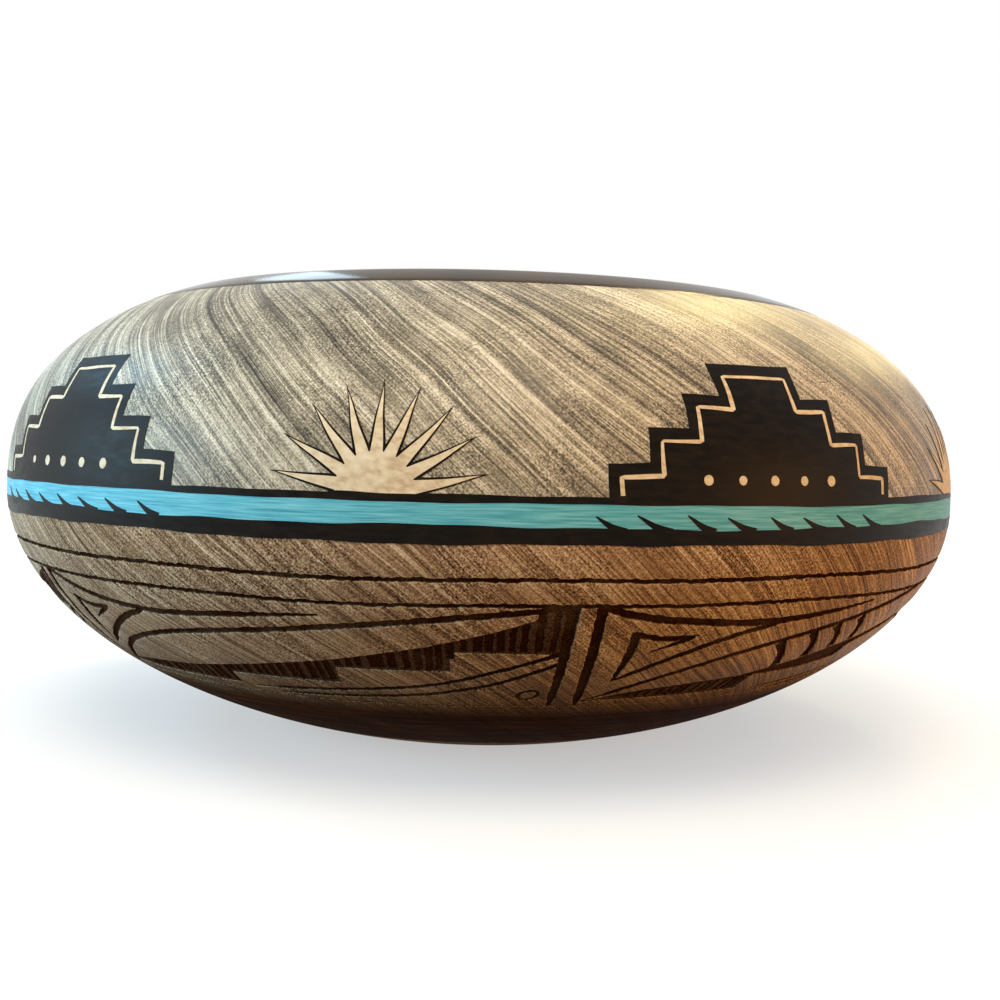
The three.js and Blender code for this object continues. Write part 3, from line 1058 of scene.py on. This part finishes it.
def etched_finish():
    """Under the band: brown wash over clay with painted shade towards the foot, stained dark in the
    cuts, and a plain dark foot that holds painted shade too.
    """
    finish = Finish("etched_slip")
    arc = finish.attribute("arc")
    carve = finish.attribute("carve")
    tone, grain, relief, gloss = slip_tone(finish, arc, wide_share=0.5, grain_shares=(0.28, 0.54))
    wall = etched_wall(finish, arc, tone)
    chips = finish.math("MULTIPLY", finish.remap(carve, 0.01, 0.08), finish.remap(grain, 0.4, 0.6))
    edged = finish.mix(finish.math("MULTIPLY", chips, CHIPS_SHOWN), wall, colour("#dcc39e"))
    stain = cut_stain(finish, carve)
    wash = finish.mix(finish.remap(grain, 0.5, 0.66), colour("#2a0f06"), colour("#45270f"))
    base = finish.mix(stain, edged, wash)
    dulled = finish.math("MAXIMUM", stain, finish.remap(arc, *DULLING))
    matt = finish.math("ADD", gloss, finish.math("MULTIPLY", dulled, DULLED_BY))
    return finish.surface(base, matt, relief, SLIP_RELIEF, specular=0.02)


def rim_finish():
    """A dark glossy brown, clouded and faintly rippled."""
    finish = Finish("rim_brown")
    cloud = finish.noise(finish.spot(), scale=60, detail=3.0)
    base = finish.mix(finish.remap(cloud, 0.35, 0.7), colour("#2f2310"), colour("#433015"))
    gloss = finish.spread(cloud, 0.1, 0.16)
    ripple = finish.noise(finish.spot(), scale=900)
    return finish.surface(base, gloss, ripple, depth=0.01, specular=0.03)


def black_finish():
    """Black paint with brush marks that run round the pot."""
    finish = Finish("black_paint")
    brush = strokes(finish, lean=0.002, around=30, along=0.9)
    base = finish.mix(finish.remap(brush, 0.4, 0.75), colour("#100c09"), colour("#221b15"))
    gloss = finish.spread(brush, 0.34, 0.5)
    return finish.surface(base, gloss, brush, depth=0.05, specular=0.06)


def turquoise_finish():
    """Turquoise paint, streaked along the stripe."""
    finish = Finish("turquoise_paint")
    brush = strokes(finish, lean=0, around=12, along=3.0)
    base = finish.ramp(brush, ((0.3, "#489db5"), (0.5, "#64bcd4"), (0.7, "#8ad5e6")))
    gloss = finish.spread(brush, 0.4, 0.52)
    return finish.surface(base, gloss, brush, depth=0.05, specular=0.15)


def pale_finish():
    """Pale paint for the suns and the trims."""
    finish = Finish("pale_paint")
    brush = strokes(finish, lean=0.004, around=60, along=0.8)
    base = finish.ramp(brush, ((0.3, "#c9b092"), (0.5, "#e2cfb2"), (0.75, "#f0e3cd")))
    gloss = finish.spread(brush, 0.45, 0.6)
    return finish.surface(base, gloss, brush, depth=0.06, specular=0.15)


def clay_finish():
    """Bare fired clay, clouded and gritty."""
    finish = Finish("bare_clay")
    cloud = finish.noise(finish.spot(), scale=40, detail=4.0)
    grit = finish.noise(finish.spot(), scale=1400)
    base = finish.ramp(cloud, ((0.3, "#8f6444"), (0.55, "#ad7d58"), (0.75, "#c0926b")))
    gritty = finish.mix(finish.remap(grit, 0.6, 0.7, 0, 0.5), base, colour("#6b4a33"))
    matt = finish.spread(cloud, 0.75, 0.9)
    return finish.surface(gritty, matt, grit, depth=0.12, specular=0.15)


# Studio, in metres

FLOOR_REACH = 4
FLOOR_BOUNCE = (0.28, 0.205, 0.12, 1)  # colour of the light that it throws back
FLOOR_SHADE = (0.34, 0.34, 0.34, 1)  # what of it takes light and shadow as seen
FLOOR_GLOW_AND_PAINTED_SHADOW = (0.45, 1.0)  # white that it adds as seen, dim under the pot as a painted shadow and full away from it
# Painted shadow: over these distances from the pot's axis the floor's glow rises from dim to full
PAINTED_SHADOW_REACH = (0.04, 0.2)
WORLD_LEVELS = (0.09, 1.0)  # as a light, and as seen

# Name, place, size, watts, tint, and whether gloss shows it
LAMPS = (
    ("front", (-0.05, -0.36, 0.53), (0.4, 0.3), 3, (1, 0.86, 0.63), True),
    ("left_window", (-0.88, -0.2, 0.22), (0.6, 0.4), 8, (0.46, 0.79, 1), True),
    ("back_window", (-0.235, 0.8, 0.58), (0.09, 0.24), 0.3, (0.62, 0.84, 1), True),
    ("far_window", (-0.83, 0.24, 0.62), (0.2, 0.22), 3, (0.25, 0.68, 1), True),
    ("back_fill", (0.1, 0.9, 0.6), (0.8, 0.5), 3, (0.9, 0.95, 1), False),
    ("right_lamp", (0.68, -0.36, 0.11), (0.3, 0.2), 2, (1, 0.42, 0.06), True),
    ("back_lamp", (0.36, 0.6, 0.72), (0.2, 0.2), 2.5, (1, 0.79, 0.33), True),
    ("side_lamp", (0.58, 0.65, 0.47), (0.16, 0.16), 0.8, (1, 0.79, 0.33), True),
)
LAMPS_AIM = (0, 0, 0.05)

# The photograph's view, with turns in radians and the lens in millimetres
CAMERA_PLACE = (0, -0.31625, 0.0688)
CAMERA_YAW = 0.0151
CAMERA_PITCH = 0.0491
CAMERA_ROLL = 0.0241
CAMERA_LENS = 43.588
CAMERA_CLIP = 0.01


def floor_finish():
    """White as seen, with the shadow of the pot and a painted shadow round its foot, and tinted in the
    light that it throws back.
    """
    finish = Finish("floor")
    finish.tree.nodes.remove(finish.shader)
    bounce = finish.add("BsdfDiffuse", {"Color": FLOOR_BOUNCE})
    shade = finish.add("BsdfDiffuse", {"Color": FLOOR_SHADE})
    distance = finish.add("VectorMath", {0: finish.spot()}, "Value", operation="LENGTH")
    # Painted shadow: the glow is dimmer on the floor round the pot's foot
    glow_and_painted_shadow = finish.add("Emission", {"Strength": finish.remap(distance, *PAINTED_SHADOW_REACH, *FLOOR_GLOW_AND_PAINTED_SHADOW)})
    pale = finish.add("AddShader", {0: shade, 1: glow_and_painted_shadow})
    mixed = finish.add("MixShader", {0: finish.is_seen(), 1: bounce, 2: pale})
    finish.put(finish.tree.nodes["Material Output"].inputs["Surface"], mixed)
    return finish.material


def make_floor(material):
    mesh = bpy.data.meshes.new("floor")
    corners = [(x * FLOOR_REACH, y * FLOOR_REACH, 0) for x, y in ((-1, -1), (1, -1), (1, 1), (-1, 1))]
    mesh.from_pydata(corners, [], [(0, 1, 2, 3)])
    mesh.materials.append(material)
    floor = put_in_scene("floor", mesh)


def make_world():
    world = bpy.data.worlds.new("studio")
    bpy.context.scene.world = world
    nodes = Nodes(world)
    background = nodes.tree.nodes["Background"]
    nodes.put(background.inputs["Color"], (1, 1, 1, 1))
    nodes.put(background.inputs["Strength"], nodes.remap(nodes.is_seen(), 0, 1, *WORLD_LEVELS))


def add_lamp(name, place_at, size, power, tint, mirrored):
    lamp = bpy.data.lights.new(name, "AREA")
    lamp.shape = "RECTANGLE"
    lamp.size, lamp.size_y = size
    lamp.energy = power
    lamp.color = tint
    facing = Vector(LAMPS_AIM) - Vector(place_at)
    holder = put_in_scene(name, lamp)
    holder.visible_glossy = mirrored
    holder.location = place_at
    holder.rotation_euler = facing.to_track_quat("-Z", "Y").to_euler()


def make_camera():
    """Nearly straight on, looking slightly down, with a slight roll."""
    lens = bpy.data.cameras.new("camera")
    lens.lens = CAMERA_LENS
    lens.clip_start = CAMERA_CLIP
    camera = put_in_scene("camera", lens)
    yaw = Matrix.Rotation(-CAMERA_YAW, 3, "Z")
    pitch = Matrix.Rotation(math.pi / 2 - CAMERA_PITCH, 3, "X")
    roll = Matrix.Rotation(CAMERA_ROLL, 3, "Z")
    camera.matrix_world = Matrix.Translation(CAMERA_PLACE) @ (yaw @ pitch @ roll).to_4x4()
    bpy.context.scene.camera = camera


def main():
    make_camera()
    for lamp in LAMPS:
        add_lamp(*lamp)
    make_world()
    make_floor(floor_finish())
    make_clay(clay_finish())
    make_slip(burnished_finish(), etched_finish())
    make_rim(rim_finish())
    black = black_finish()
    make_skyline(black)
    make_stripe(turquoise_finish())
    make_ground(black)
    make_suns_and_trims(pale_finish())
    bpy.context.scene.view_settings.view_transform = "Standard"


main()
